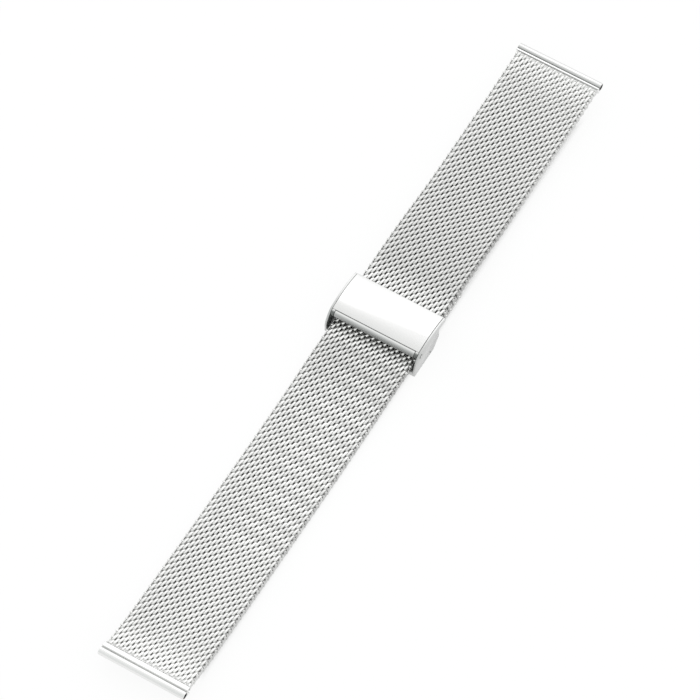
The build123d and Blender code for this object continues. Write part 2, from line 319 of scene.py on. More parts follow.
def turned(bm, shape, centre, sides, place=lambda y, z: (y, z)):
    """Rings of vertices round a centre, one for each x and radius of a shape."""
    rings = []
    for x, radius in shape:
        ring = []
        for n in range(sides):
            a = 2 * math.pi * n / sides
            y, z = place(centre[0] + radius * math.cos(a), centre[1] + radius * math.sin(a))
            ring.append(bm.verts.new((x, y, z)))
        rings.append(ring)
    return rings


def tube(name, centre, outer, bore, half, place):
    """A tube along X with rounded rims, about a point of the plane that place works in."""
    rim = (outer - bore) * TUBE_RIM
    corner, inner = rim * 0.3, rim * 0.5
    end = [
        (half - rim, outer),
        (half - corner, outer - corner),
        (half, outer - rim),
        (half, bore + inner),
        (half - inner, bore),
    ]
    bm = bmesh.new()
    rings = turned(bm, end + [(-x, r) for x, r in end[::-1]], centre, TUBE_SIDES, place)
    bridge(bm, rings + rings[:1])
    return mesh_from(bm, name)


def pin(name, centre, radius, half):
    """A pin along X with domed ends that stand a little proud."""
    dome = radius * PIN_DOME
    end = [(half + dome * (1 - share**2), radius * share) for share in PIN_RINGS]
    bm = bmesh.new()
    rings = turned(bm, [(-x, r) for x, r in end[::-1]] + end, centre, PIN_SIDES)
    bridge(bm, rings)
    bm.faces.new(rings[0])
    bm.faces.new(rings[-1][::-1])
    mesh = mesh_from(bm, name)
    smooth(mesh, PIN_SMOOTH_DEGREES)
    return mesh


def arc(centre, radius, start, end, count):
    """Points on an arc, angles in degrees from +Y towards +Z."""
    points = []
    for n in range(count + 1):
        a = math.radians(start + (end - start) * n / count)
        points.append((centre[0] + radius * math.cos(a), centre[1] + radius * math.sin(a)))
    return points


# Finishes: owner of the settings, bright colour and the dark colour of the painted shade,
# roughness, how much that varies, strength of the scratches, and scale of the clouding
FINISHES = {
    "woven_wire": ("band_mesh", "colour", "recess", 0.24, 0.10, 0.15, 500.0),
    "mirror_finish": ("band_clasp", "colour", "crevice", 0.16, 0.06, 0.05, 120.0),
    "satin_finish": ("band_clasp", "satin", "crevice", 0.30, 0.10, 0.12, 260.0),
}
SCRATCH_SCALE = 900.0
SCRATCH_DEPTH = 0.02 * MM
CLOUD_TONE = 0.93
# How much rougher the steel gets where shade is painted
SHADE_ROUGHER = 0.3


# Shader nodes: the node group puts out masks and values only


def set_inputs(tree, node, inputs):
    """Give a node's inputs their values, or link them to the outputs that feed them."""
    for label, value in inputs.items():
        socket = node.inputs[label]
        if isinstance(value, bpy.types.NodeSocket):
            tree.links.new(value, socket)
        else:
            socket.default_value = value


def add_node(tree, kind, inputs=None, **settings):
    """A new node with its settings and its inputs."""
    node = tree.nodes.new(kind)
    for name, value in settings.items():
        setattr(node, name, value)
    set_inputs(tree, node, inputs or {})
    return node


def work_out(tree, operation, *values):
    """The output of a math node on those values or outputs."""
    node = add_node(tree, "ShaderNodeMath", dict(enumerate(values)), operation=operation)
    return node.outputs["Value"]


def map_range(tree, value, low, high, **settings):
    """A node that maps a range onto 0 to 1."""
    inputs = {"Value": value, "From Min": low, "From Max": high}
    return add_node(tree, "ShaderNodeMapRange", inputs, **settings)


def mix_colours(tree, share, first, second):
    """The output of a mix from the first colour to the second."""
    inputs = {"Factor": share, "A": first, "B": second}
    return add_node(tree, "ShaderNodeMix", inputs, data_type="RGBA").outputs["Result"]


def show_mix(tree, share, first, second, output):
    """Send a mix of two shaders to the tree's output node."""
    inputs = {0: share, 1: first.outputs[0], 2: second.outputs[0]}
    mix = add_node(tree, "ShaderNodeMixShader", inputs)
    set_inputs(tree, tree.nodes[output], {"Surface": mix.outputs[0]})


def handling_marks():
    """Node group: faint clouding and fine scratches left by handling."""
    tree = bpy.data.node_groups.new("handling_marks", "ShaderNodeTree")
    face = tree.interface
    for name, value in (("Cloud scale", 120), ("Scratch scale", SCRATCH_SCALE), ("Strength", 0.5)):
        socket = face.new_socket(name=name, in_out="INPUT", socket_type="NodeSocketFloat")
        socket.default_value = value
    for name in ("Cloud", "Scratches"):
        face.new_socket(name=name, in_out="OUTPUT", socket_type="NodeSocketFloat")
    given = add_node(tree, "NodeGroupInput").outputs
    place = add_node(tree, "ShaderNodeTexCoord").outputs["Object"]
    cloud = add_node(
        tree, "ShaderNodeTexNoise", {"Vector": place, "Scale": given["Cloud scale"], "Detail": 3}
    )
    stretch = add_node(
        tree,
        "ShaderNodeMapping",
        {"Vector": place, "Scale": (0.12, 1.0, 1.0), "Rotation": (0.0, 0.0, 0.5)},
    )
    lines = add_node(
        tree,
        "ShaderNodeTexNoise",
        {"Vector": stretch.outputs["Vector"], "Scale": given["Scratch scale"], "Detail": 2},
    )
    pick = map_range(tree, lines.outputs["Fac"], 0.60, 0.72)
    scratches = work_out(tree, "MULTIPLY", pick.outputs["Result"], given["Strength"])
    add_node(tree, "NodeGroupOutput", {"Cloud": cloud.outputs["Fac"], "Scratches": scratches})
    return tree


def steel(name, colour, dark, roughness, spread, scratch, cloud):
    """Metal whose roughness and tone vary with handling, and which is mixed towards its dark
    colour, and roughened, where shade is painted into it.
    """
    material = bpy.data.materials.new(name)
    material.use_nodes = True
    tree = material.node_tree
    group = bpy.data.node_groups.get("handling_marks") or handling_marks()
    marks = add_node(tree, "ShaderNodeGroup", {"Cloud scale": cloud}, node_tree=group).outputs
    rough = map_range(tree, marks["Cloud"], 0.3, 0.7)
    set_inputs(tree, rough, {"To Min": roughness - spread / 2, "To Max": roughness + spread / 2})
    cloudy = (*[c * CLOUD_TONE for c in colour], 1)
    tone = mix_colours(tree, marks["Cloud"], (*colour, 1), cloudy)
    # Painted shade: the attribute mixes the colour towards the dark colour and roughens it a little
    recess = add_node(tree, "ShaderNodeAttribute", attribute_name="recess").outputs["Fac"]
    duller = work_out(tree, "MULTIPLY_ADD", recess, SHADE_ROUGHER, rough.outputs["Result"])
    relief = add_node(
        tree,
        "ShaderNodeBump",
        {"Height": marks["Scratches"], "Strength": scratch, "Distance": SCRATCH_DEPTH},
    )
    set_inputs(
        tree,
        tree.nodes["Principled BSDF"],
        {
            "Metallic": 1.0,
            "Base Color": mix_colours(tree, recess, tone, (*dark, 1)),
            "Roughness": duller,
            "Normal": relief.outputs["Normal"],
        },
    )
    return material


def finish_of(name):
    """The shared finishes, made when first asked for."""
    found = bpy.data.materials.get(name)
    if found:
        return found
    owner, bright, dark, *rest = FINISHES[name]
    settings = getattr(bpy.context.scene, owner)
    return steel(name, getattr(settings, bright), getattr(settings, dark), *rest)


def shade(mesh, rule):
    """Store how much painted shade each point of a mesh gets, from 0 to 1."""
    values = [min(max(rule(v.co), 0.0), 1.0) for v in mesh.vertices]
    mesh.attributes.new("recess", "FLOAT", "POINT").data.foreach_set("value", values)


def dress(obj, finish, body, nodes):
    """Give a piece its finish, and put it on its body in place of the nodes."""
    obj.data.materials.append(finish_of(finish))
    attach(obj, body)
    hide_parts(*nodes)


# The woven mesh


class RestLine:
    """Smooth line through a half's hinges, by the distance out from its first hinge."""

    def __init__(self, start, way, group, degrees):
        self.way, self.group, self.count = way, group, len(degrees)
        points = [np.array([start[0] - way * group, start[1]]), np.array(start)]
        for slope in degrees:
            a = math.radians(slope)
            points.append(points[-1] + group * np.array([way * math.cos(a), math.sin(a)]))
        self.points = np.array(points)

    def at(self, s):
        """Points (y, z) and unit directions of the line at the distances s."""
        s = np.asarray(s, float)
        half = self.group / 2
        nearest = np.clip(np.round(s / self.group), 0, self.count - 1).astype(int)
        before, corner, after = (self.points[nearest + k] for k in range(3))
        t = (s - (nearest * self.group - half)) / self.group
        start, end = (before + corner) / 2, (corner + after) / 2
        inside = np.clip(t, 0, 1)[..., None]
        place = (1 - inside) ** 2 * start + 2 * inside * (1 - inside) * corner + inside**2 * end
        way = (1 - inside) * (corner - start) + inside * (end - corner)
        way /= np.linalg.norm(way, axis=-1, keepdims=True)
        place = place + way * ((t[..., None] - inside) * self.group)
        return place, way


def flattened(wave, power):
    """A wave with its crests made flatter by a power under 1."""
    return np.sign(wave) * np.abs(wave) ** power


def coil_line(settings, flip, way):
    """Centre line of one row's wire: points (x, u, v) with u out along the band and v up."""
    radius = settings.wire / 2
    rise = settings.thickness / 2 - radius
    turns = 2 * (settings.width / 2 - radius) / settings.pitch
    angle = np.linspace(-math.pi * turns, math.pi * turns, int(turns * FINE_STEPS) + 1)
    phase = angle + (math.pi if flip else 0.0)
    legs = np.floor(phase / math.pi)
    leg = settings.reach * math.tan(settings.lean)
    flat = settings.flatness
    across = leg * (2 * legs + 1 - flattened(np.cos(phase - legs * math.pi), flat))
    across += (settings.pitch / 2 - 2 * leg) / math.pi * (phase + np.sin(2 * phase) / 2)
    across -= settings.pitch / 2 if flip else 0.0
    along = -way * settings.reach * flattened(np.cos(phase), flat)
    fine = np.stack([across, along, rise * flattened(np.sin(phase), flat)], -1)
    run = np.concatenate([[0], np.cumsum(np.linalg.norm(np.diff(fine, axis=0), axis=1))])
    even = np.linspace(0, run[-1], int(round(turns * settings.steps)) + 1)
    return np.stack([np.interp(even, run, fine[:, k]) for k in range(3)], -1)


def ring_quads(rings, sides):
    """The four corners of each face between that many rings of points."""
    n = np.arange(rings - 1)[:, None] * sides
    k = np.arange(sides)[None, :]
    m = (k + 1) % sides
    return np.stack([n + k, n + m, n + sides + m, n + sides + k], -1).reshape(-1, 4)


def coil_template(settings, flip, way):
    """One woven row across the band: rings of vertices round its wire, with two closed ends."""
    radius = settings.wire / 2
    centre = coil_line(settings, flip, way)
    along = np.gradient(centre, axis=0)
    along /= np.linalg.norm(along, axis=-1, keepdims=True)
    radial = centre * np.array([0, 1, 1])
    out = radial - (radial * along).sum(-1, keepdims=True) * along
    out /= np.linalg.norm(out, axis=-1, keepdims=True)
    side = np.cross(along, out)
    turn = np.linspace(0, 2 * math.pi, settings.sides, endpoint=False)
    high = flattened(np.cos(turn), SECTION_POWER) * radius
    wide = flattened(np.sin(turn), SECTION_POWER) * settings.face / 2
    ring = centre[:, None, :] + high[None, :, None] * out[:, None, :]
    ring = ring + wide[None, :, None] * side[:, None, :]
    rings, sides = ring.shape[:2]
    points = ring.reshape(-1, 3)
    # Painted shade on the inner side of each wire, towards the coil's axis
    inner = np.tile(np.clip(-high / radius, 0, 1), rings)
    tips = np.stack([centre[0] - along[0] * radius * 0.5, centre[-1] + along[-1] * radius * 0.5])
    points = np.concatenate([points, tips])
    inner = np.concatenate([inner, [0, 0]])
    k = np.arange(sides)
    m = (k + 1) % sides
    first, last = rings * sides, rings * sides + 1
    base = (rings - 1) * sides
    start_cap = np.stack([np.full(sides, first), m, k], -1)
    end_cap = np.stack([np.full(sides, last), base + k, base + m], -1)
    caps = np.concatenate([start_cap, end_cap])
    return points, ring_quads(rings, sides), caps, inner


def weld_template(settings):
    """The fused bead that ties a row's end to its neighbour at the band's edge."""
    rings, sides = 5, 8
    a = np.linspace(0, math.pi, rings + 1)[:, None]
    b = np.linspace(0, 2 * math.pi, sides, endpoint=False)
    ball = np.stack([np.cos(b) * np.sin(a), np.cos(a) + 0 * b, np.sin(b) * np.sin(a)], -1)
    sizes = np.array([settings.wire, settings.row, settings.thickness])
    return ball.reshape(-1, 3) * sizes * BEAD_SHARE, ring_quads(rings + 1, sides)


def ramp(value, low, high):
    """How far a value, or an array of them, has come from one to another, from 0 to 1."""
    return np.clip((value - low) / (high - low), 0.0, 1.0)


def grime(y, way):
    """Painted shade of the wires along a half: most beside the clasp and least at the ends, where
    more light falls.
    """
    base, changes = (LONG_TONE, LONG_CHANGES) if way < 0 else (SHORT_TONE, SHORT_CHANGES)
    return base + sum(change * ramp(y, start, end) for start, end, change in changes)


def rung(y, way):
    """How far the ladder presses into the row there, from 0 to 1."""
    if way > 0 or y <= LADDER_FIRST - LADDER_PITCH / 2:
        return 0.0
    near = (y - LADDER_FIRST) / LADDER_PITCH
    away = (near - round(near)) * LADDER_PITCH
    return math.exp(-((away / RUNG_HALF) ** 2))


def row_tone(x, y, way):
    """Painted shade of the wires at the places x of the row at y: along the half, at the edges and
    the sides, and in bands over the ladder's rungs.
    """
    tone = grime(y, way)
    rim = RIM_SHADE * ramp(x, *RIM)
    if way > 0:
        start, end, share = SHORT_RIM_CLEARS
        return tone + rim * (1 - share * ramp(y, start, end))
    if y < TAIL_START:
        tone = tone + rim
    if y >= CLASP_FRONT:
        return tone
    left = ramp(x, *LEFT)
    tone = tone + LEFT_SHADE * left + RIGHT_SHADE * ramp(x, *RIGHT)
    if y > LADDER_FIRST:
        # Painted shade and light in bands over the rungs
        wave = math.cos(2 * math.pi * (y - LADDER_FIRST - RUNG_SHADE_SHIFT) / LADDER_PITCH)
        tone = tone - RUNG_LIGHTER - RUNG_BAND_SHADE * wave * (1 - RUNG_FADE * left)
    return tone


def bead_tone(sign, y, way):
    """Painted shade of the fused bead at one edge of the row at y."""
    if sign > 0:
        return BEAD_RIGHT
    return BEAD_LEFT if way > 0 or y < TAIL_START else BEAD_TAIL


def strip_tone(shade_amount, away, way):
    """Add the painted shade line beside an end bar's strip, at those distances from it."""
    middle, width, share = STRIP_LINE_LONG if way < 0 else STRIP_LINE_SHORT
    shade_amount = np.maximum(shade_amount, share * np.exp(-(((away - middle) / width) ** 2)))
    if way < 0:
        shade_amount = np.maximum(shade_amount, np.where(away < PRESSED_ZONE, PRESSED_SHADE, 0.0))
    return shade_amount


def mesh_of(name, points, quads, tris, shade_amount):
    """A smooth mesh of those points and faces, with its painted shade as an attribute."""
    mesh = bpy.data.meshes.new(name)
    mesh.vertices.add(len(points))
    mesh.vertices.foreach_set("co", points.astype(np.float32).ravel())
    corners = np.concatenate([quads.ravel(), tris.ravel()]).astype(np.int32)
    mesh.loops.add(len(corners))
    mesh.loops.foreach_set("vertex_index", corners)
    starts = [np.arange(len(quads)) * 4, len(quads) * 4 + np.arange(len(tris)) * 3]
    starts = np.concatenate(starts).astype(np.int32)
    mesh.polygons.add(len(starts))
    mesh.polygons.foreach_set("loop_start", starts)
    mesh.update(calc_edges=True)
    mesh.validate()
    mesh.polygons.foreach_set("use_smooth", np.ones(len(mesh.polygons), bool))
    layer = mesh.attributes.new("recess", "FLOAT", "POINT")
    layer.data.foreach_set("value", shade_amount.astype(np.float32))
    return mesh


def first_row_past(distance, settings):
    """The first row whose middle lies at that distance along a half, or past it."""
    return int(math.ceil(distance / settings.row - 0.5 - 1e-6))


def woven(name, settings, line, low, high, first_row=None, grip=None):
    """The rows of wire between two distances along a half."""
    start = first_row_past(low, settings) if first_row is None else first_row
    stop = first_row_past(high, settings)
    lightens = 1.0 if line.way < 0 else SLOT_LIGHTENS_SHORT
    templates = {flip: coil_template(settings, flip, line.way) for flip in (False, True)}
    bead, bead_quads = weld_template(settings)
    half_high = settings.thickness / 2
    edge = settings.width / 2 - settings.wire * BEAD_SHARE[0]
    all_points, all_quads, all_tris, all_shade_amounts, offset = [], [], [], [], 0
    for row in range(start, stop):
        points, quads, caps, inner = templates[row % 2 == 0]
        points = points.copy()
        s = (row + 0.5) * settings.row
        y = line.at(np.array([s]))[0][0][0]
        # Painted light: the slots' painted shade fades away from the clasp, and less on the short
        # half
        bright = ramp(abs(y - SLOT_MIDDLE), *SLOT_LIGHTENS) * lightens
        press = rung(y, line.way)
        under = points[:, 2] < 0
        points[under, 2] *= 1 - RUNG_PRESS * press
        points[~under, 2] -= RUNG_SINK * press * points[~under, 2] / half_high
        if grip is not None and row == stop - 1:
            outer = points[:, 1] > 0
            last = settings.row / 2 + LAST_ROW_UNDER
            points[outer, 1] *= last / (settings.reach + settings.wire / 2)
        pieces = [(points, quads, caps, inner)]
        lean = settings.row * BEAD_LEAN * (1 if row % 2 else -1)
        for sign in (-1, 1):
            shift = np.array([sign * edge, lean, 0])
            pieces.append((bead + shift, bead_quads, None, bead_tone(sign, y, line.way)))
        for local, four, three, shaded in pieces:
            place, way = line.at(s + local[:, 1])
            up = np.stack([-way[:, 1] * line.way, way[:, 0] * line.way], -1)
            across_up = place + up * local[:, 2:]
            all_points.append(np.column_stack([local[:, 0], across_up]))
            # Painted shade in the middle of the mesh's thickness and on the wires' inner sides,
            # lessened by the painted light
            sunk_shade = ramp(np.abs(local[:, 2]) / half_high, SLOT_HEIGHT, 0.0) * SLOT_DARK
            shade_amount = np.maximum(sunk_shade, shaded) * (1 - bright)
            shade_amount = np.maximum(shade_amount, row_tone(local[:, 0], y, line.way))
            if grip is not None:
                shade_amount = strip_tone(shade_amount, high - s - local[:, 1] - grip, line.way)
            all_shade_amounts.append(shade_amount)
            all_quads.append(four + offset)
            if three is not None:
                all_tris.append(three + offset)
            offset += len(local)
    quads = np.concatenate(all_quads)
    tris = np.concatenate(all_tris)
    if line.way < 0:
        quads, tris = quads[:, ::-1], tris[:, ::-1]
    mesh = mesh_of(name, np.concatenate(all_points), quads, tris, np.concatenate(all_shade_amounts))
    obj = link(bpy.data.objects.new(name, mesh))
    mesh.materials.append(finish_of("woven_wire"))
    return obj


def woven_half(settings, half, line, inner_row, grip):
    """A rigid run at the clasp, then one piece across each hinge."""
    group, count = line.group, line.count
    rigid = woven(half + "_woven_0", settings, line, 0, -group / 2, first_row=inner_row)
    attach(rigid, half + "_0")
    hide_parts("mesh_" + half + "_0")
    for n in range(1, count + 1):
        low, high = (n - 1.5) * group, (n - 0.5) * group
        name = half + "_woven_" + str(n)
        if n < count:
            piece = woven(name, settings, line, low, high)
        else:
            piece = woven(name, settings, line, low, count * group, grip=grip)
        a, b = line.at(np.array([low, high]))[0]
        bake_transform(piece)
        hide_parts("mesh_" + half + "_" + str(n))


class BAND_OT_long_mesh(bpy.types.Operator):
    """Weave the long half of the mesh"""

    bl_idname = "band.long_mesh"
    bl_label = "Long mesh"

    def execute(self, context):
        settings = context.scene.band_mesh
        inner = -int((TAIL_END - LONG_START[0] - settings.reach - settings.wire) / settings.row)
        woven_half(settings, "long", RestLine(*LONG_LINE), inner, LONG_GRIP)
        return {"FINISHED"}


class BAND_OT_short_mesh(bpy.types.Operator):
    """Weave the short half of the mesh"""

    bl_idname = "band.short_mesh"
    bl_label = "Short mesh"

    def execute(self, context):
        settings = context.scene.band_mesh
        inner = -int((SHORT_START[0] - FRAME_REAR) / settings.row)
        woven_half(settings, "short", RestLine(*SHORT_LINE), inner, SHORT_GRIP)
        return {"FINISHED"}


# End bars: radii of tube and bore, half the length, the slot for the mesh, and the tube's
# middle as a distance from the strip's outer end
BAR_OUTER = 0.9 * MM
BAR_BORE = 0.7 * MM
BAR_HALF = 10.0 * MM
BAR_SLOT = 0.75 * MM
BAR_MIDDLE = 1.15 * MM
BAR_EDGE = 0.11 * MM

# The solder beside a strip: distance from the strip and height, as shares of flow and fill
SOLDER = ((3.0 * MM, 0.2), (1.2 * MM, 0.6), (0.5 * MM, 1.0))
SOLDER_STEP = 0.14 * MM
SOLDER_EDGE = 0.05 * MM
SOLDER_INSET = 0.1 * MM

# Parts of an end bar by the distance from its tube's middle: the solder and its zone of painted
# shade near the strip, the strip's own edge with painted shade and its face, and the band of radii
# that is the tube's outer face
SOLDER_HALF = 0.68 * MM
SOLDER_NEAR = 1.35 * MM
STRIP_EDGE, STRIP_TOP, STRIP_EDGE_DARK = 1.1 * MM, 0.8 * MM, 0.6
STRIP_FACE = 0.75 * MM
TUBE_FACE = (0.8 * MM, 0.95 * MM)

# The tube's painted shade grows past these turns in degrees, and is painted on its outermost face
# below the last one
TURN_SHADED, TURN_DARK, TURN_RIM, TURN_RIM_FADE = 80, 112, 60, 40
RIM_LEAST = 0.35

# An end bar: how far the strip reaches out, half its height, half the solder's height and its flow,
# how slowly the tube's painted shade grows past the two turns, and how much painted shade its rim,
# the solder near the strip and away from it, and the strip's face get
Bar = namedtuple("Bar", "half line grip seam clamp fill flow slow steep rim near away face")
BARS = (
    Bar(
        half="long", line=LONG_LINE, grip=LONG_GRIP,
        seam=0.45 * MM, clamp=1.0 * MM, fill=0.52 * MM, flow=1.1,
        slow=260, steep=400, rim=0.02, near=0.55, away=0.2, face=0.14,
    ),
    Bar(
        half="short", line=SHORT_LINE, grip=SHORT_GRIP,
        seam=0.3 * MM, clamp=0.95 * MM, fill=0.5 * MM, flow=0.6,
        slow=95, steep=24, rim=0.4, near=0.05, away=0.05, face=0.0,
    ),
)


def bar_shade(bar, middle, out, up):
    """The rule for how much painted shade a point of an end bar gets."""

    def rule(p):
        u = (p.y - middle[0]) * out[0] + (p.z - middle[1]) * out[1]
        v = (p.y - middle[0]) * up[0] + (p.z - middle[1]) * up[1]
        if u < -BAR_MIDDLE and abs(v) < SOLDER_HALF:
            return bar.near if u > -SOLDER_NEAR - bar.grip else bar.away
        if u < -STRIP_EDGE - bar.grip and v > STRIP_TOP:
            return STRIP_EDGE_DARK
        if not TUBE_FACE[0] <= math.hypot(u, v) <= TUBE_FACE[1]:
            return bar.face if u < -STRIP_FACE else 0.0
        turn = abs(math.degrees(math.atan2(v, u)))
        inner = max((turn - TURN_SHADED) / bar.slow, (turn - TURN_DARK) / bar.steep)
        outer = max(min((TURN_RIM - turn) / TURN_RIM_FADE, 1), RIM_LEAST) * bar.rim
        return max(inner, outer)

    return rule


class BAND_OT_end_bars(bpy.types.Operator):
    """Roll the two end bars"""

    bl_idname = "band.end_bars"
    bl_label = "End bars"

    def execute(self, context):
        for bar in BARS:
            self.roll(context, bar)
        return {"FINISHED"}

    def roll(self, context, bar):
        """One bar: its clamp strip, its tube, and the solder beside the strip."""
        line = RestLine(*bar.line)
        end = line.points[-1]
        a = math.radians(bar.line[-1][-1])
        out = np.array([line.way * math.cos(a), math.sin(a)])
        up = np.array([-line.way * math.sin(a), math.cos(a)])

        def place(u, v):
            p = end + out * u + up * v
            return (p[0], p[1])

        strip = [(0, BAR_SLOT), (-bar.grip, BAR_SLOT)]
        strip += [(-bar.grip, bar.clamp), (bar.seam, bar.clamp)]
        strip += [(u, -v) for u, v in strip[::-1]]
        solder = [(-bar.grip - far * bar.flow, bar.fill * share) for far, share in SOLDER]
        solder += [(-bar.grip - SOLDER_STEP, bar.fill), (-bar.grip, bar.fill), (0, bar.fill)]
        solder += [(u, -v) for u, v in solder[::-1]]
        mesh_half = context.scene.band_mesh.width / 2 - SOLDER_INSET
        meshes = [
            prism("clamp", [place(*p) for p in strip], -BAR_HALF, BAR_HALF, edge=BAR_EDGE),
            tube("roll", (BAR_MIDDLE, 0), BAR_OUTER, BAR_BORE, BAR_HALF, place),
            prism("solder", [place(*p) for p in solder], -mesh_half, mesh_half, edge=SOLDER_EDGE),
        ]
        rolled = join("end_bar_" + bar.half + "_rolled", meshes)
        # Painted shade in the bar's groove, on its rim, its solder and its strip
        shade(rolled.data, bar_shade(bar, place(BAR_MIDDLE, 0), out, up))
        body = bar.half + "_" + str(line.count)
        dress(rolled, "mirror_finish", body, ["end_bar_" + bar.half])


# Clasp sizes, as in the frame: pins, roll and cover
PIN = (7.2 * MM, 4.8 * MM)
PIN_RADIUS = 0.55 * MM
FLAP_PIN = (11.2 * MM, 0.5 * MM)
FLAP_PIN_RADIUS = 0.25 * MM
ROLL_RADIUS = 1.0 * MM
CROWN = (11.5 * MM, 6.45 * MM)
COVER_RADIUS = 18.0 * MM
COVER_SHEET = 0.8 * MM
COVER_REAR = 17.2 * MM
COVER_HALF = 10.28 * MM

# Base: its walls, the floor with the window's ends and the notch for the flap
INNER_HALF = 10.35 * MM
OUTER_HALF = 10.8 * MM
FLOOR_FRONT, FLOOR_REAR, FLOOR_HIGH = 4.7 * MM, 12.4 * MM, 1.0 * MM
WINDOW = (5.85 * MM, 11.83 * MM)
NOTCH_HALF, NOTCH_DEEP = 1.5 * MM, 0.6 * MM
FLOOR_LIP = 13.1 * MM
WALL_FRONT_HIGH = 0.4
WALL_BULGE = (-0.29 * MM, 0.39 * MM)
WALL_DROP = 0.9 * MM
WALL_STEP = (14.6 * MM, 2.4 * MM)
WALL_EDGE = 1.2

# Cover: the groove round the roll, and its ears
GROOVE = 1.12 * MM
EAR_WIDE = 0.7 * MM
EAR_TURNS = (100, 330)
EAR_REAR, EAR_LOW, EAR_HIGH = 2.6 * MM, 0.1 * MM, 0.3 * MM
EAR_FRONT, EAR_UNDER = 0.3 * MM, 0.12 * MM
EAR_EDGE = 0.6

# Hook lever: half its width and the claw's, the roll's turns, and the plate and the hook
LEVER_HALF, CLAW_HALF = 9.5 * MM, 7.5 * MM
LEVER_TURNS = (17.5, 342.5)
LEVER_REAR, LEVER_THIN = 12.77 * MM, 0.3 * MM
HOOK_WIDE, HOOK_LOW = 0.6 * MM, 2.85 * MM

# Painted shade on the cover and the roll: on the arch behind the pin, towards the cover's rear, on
# the ears, and round the roll, by the turn in degrees from the rear over the top
ROLL_REACH = 1.05 * MM
ARCH_FADE, ARCH_DARK = 3.4 * MM, 0.15
REAR_FADE, REAR_LEAST, REAR_DARK = (12 * MM, 17 * MM), 0.04, 0.22
EAR_INSIDE = 9.55 * MM
EAR_FADE, EAR_DARK = (96, 124), 0.9
BELOW_TURN, BELOW_DARK = 215, 0.1
GROOVE_TURN, GROOVE_FADE = 103, 14
FRONT_TURN, FRONT_FADE, FRONT_DARK = 106, 60, 0.62

# Painted shade on the walls: on their own faces towards the front, and in the line between wall and
# cover
WALL_FADE, WALL_DARK = (14 * MM, 7 * MM), 0.16
LINE_LEAST, LINE_DARK, LINE_MOST = 0.1, 0.8, 0.9
LINE_REAR, LINE_FADE = 11.5 * MM, 2.5 * MM

# The painted-shade ring round a pin's end, as shares of its radius
PIN_RING = (0.35, 0.8)


def cover_height(y, radius):
    """Height of an arc about the cover's centre."""
    return CROWN[1] - COVER_RADIUS + math.sqrt(radius**2 - (y - CROWN[0]) ** 2)


def cover_curve(radius, count):
    """Points of that arc from the main pin to the cover's rear."""
    run = COVER_REAR - PIN[0]
    places = [PIN[0] + run * n / count for n in range(count + 1)]
    return [(y, cover_height(y, radius)) for y in places]


def bow(low, high, bulge, count):
    """Points between two ends of a curve whose middle bulges away from the straight line."""
    low, high, bulge = (np.array(p) for p in (low, high, bulge))
    halfway = (low + high) / 2
    control = 2 * (halfway + bulge) - halfway
    shares = (n / count for n in range(1, count))
    return [tuple((1 - t) ** 2 * low + 2 * t * (1 - t) * control + t * t * high) for t in shares]


def from_pin(y, z):
    """Distance from the main pin, and turn round it in degrees from the rear over the top."""
    return math.hypot(y - PIN[0], z - PIN[1]), math.degrees(math.atan2(z - PIN[1], y - PIN[0]))


def under_roll(p):
    """How much painted shade a point of the cover, the ears or the roll gets."""
    away, turn = from_pin(p.y, p.z)
    turn %= 360
    if p.y > PIN[0] or away > ROLL_REACH:
        front = ARCH_DARK * (PIN[0] + ARCH_FADE - p.y) / ARCH_FADE
        return max(front, REAR_LEAST + REAR_DARK * ramp(p.y, *REAR_FADE))
    if abs(p.x) > EAR_INSIDE:
        return ramp(turn, *EAR_FADE) * EAR_DARK
    if turn > BELOW_TURN:
        return BELOW_DARK
    front = min((turn - FRONT_TURN) / FRONT_FADE, FRONT_DARK)
    return max(front, (GROOVE_TURN - turn) / GROOVE_FADE)


def wall_shade(p):
    """How much painted shade a point of the base gets: most in the line beside the cover."""
    if abs(abs(p.x) - INNER_HALF) > 0.01 * MM:
        return WALL_DARK * ramp(p.y, *WALL_FADE)
    return min(LINE_MOST, LINE_LEAST + LINE_DARK * (LINE_REAR - p.y) / LINE_FADE)


class BAND_OT_clasp_base(bpy.types.Operator):
    """Form the clasp's base with its side walls"""

    bl_idname = "band.clasp_base"
    bl_label = "Clasp base"

    def execute(self, context):
        edge = context.scene.band_clasp.edge
        top = cover_curve(COVER_RADIUS, 28)
        low = (FLOOR_FRONT, top[0][1] * WALL_FRONT_HIGH)
        wall = [low] + bow(low, top[0], WALL_BULGE, 12) + top
        heel = top[-1][1] - WALL_DROP
        wall += [(COVER_REAR, heel), (WALL_STEP[0], heel), WALL_STEP]
        wall += [(FLOOR_REAR, 0), (FLOOR_FRONT, 0)]
        meshes = []
        for sign in (-1, 1):
            sides = sorted((sign * INNER_HALF, sign * OUTER_HALF))
            meshes.append(prism("wall", wall, *sides, edge=edge * WALL_EDGE))
        side = (INNER_HALF + OUTER_HALF) / 2
        strip = [(side, FLOOR_FRONT), (side, WINDOW[0])]
        strip += [(NOTCH_HALF, WINDOW[0]), (NOTCH_HALF, WINDOW[0] - NOTCH_DEEP)]
        strip += [(-x, y) for x, y in strip[::-1]]
        meshes.append(prism("front_strip", strip, 0, FLOOR_HIGH, across="Z", edge=edge))
        back = [(WINDOW[1], 0), (FLOOR_REAR, 0), (FLOOR_LIP, FLOOR_HIGH), (WINDOW[1], FLOOR_HIGH)]
        meshes.append(prism("rear_strip", back, -side, side, edge=edge))
        base = join("clasp_base_formed", meshes)
        shade(base.data, wall_shade)
        dress(base, "satin_finish", "clasp", ["clasp_base"])
        return {"FINISHED"}


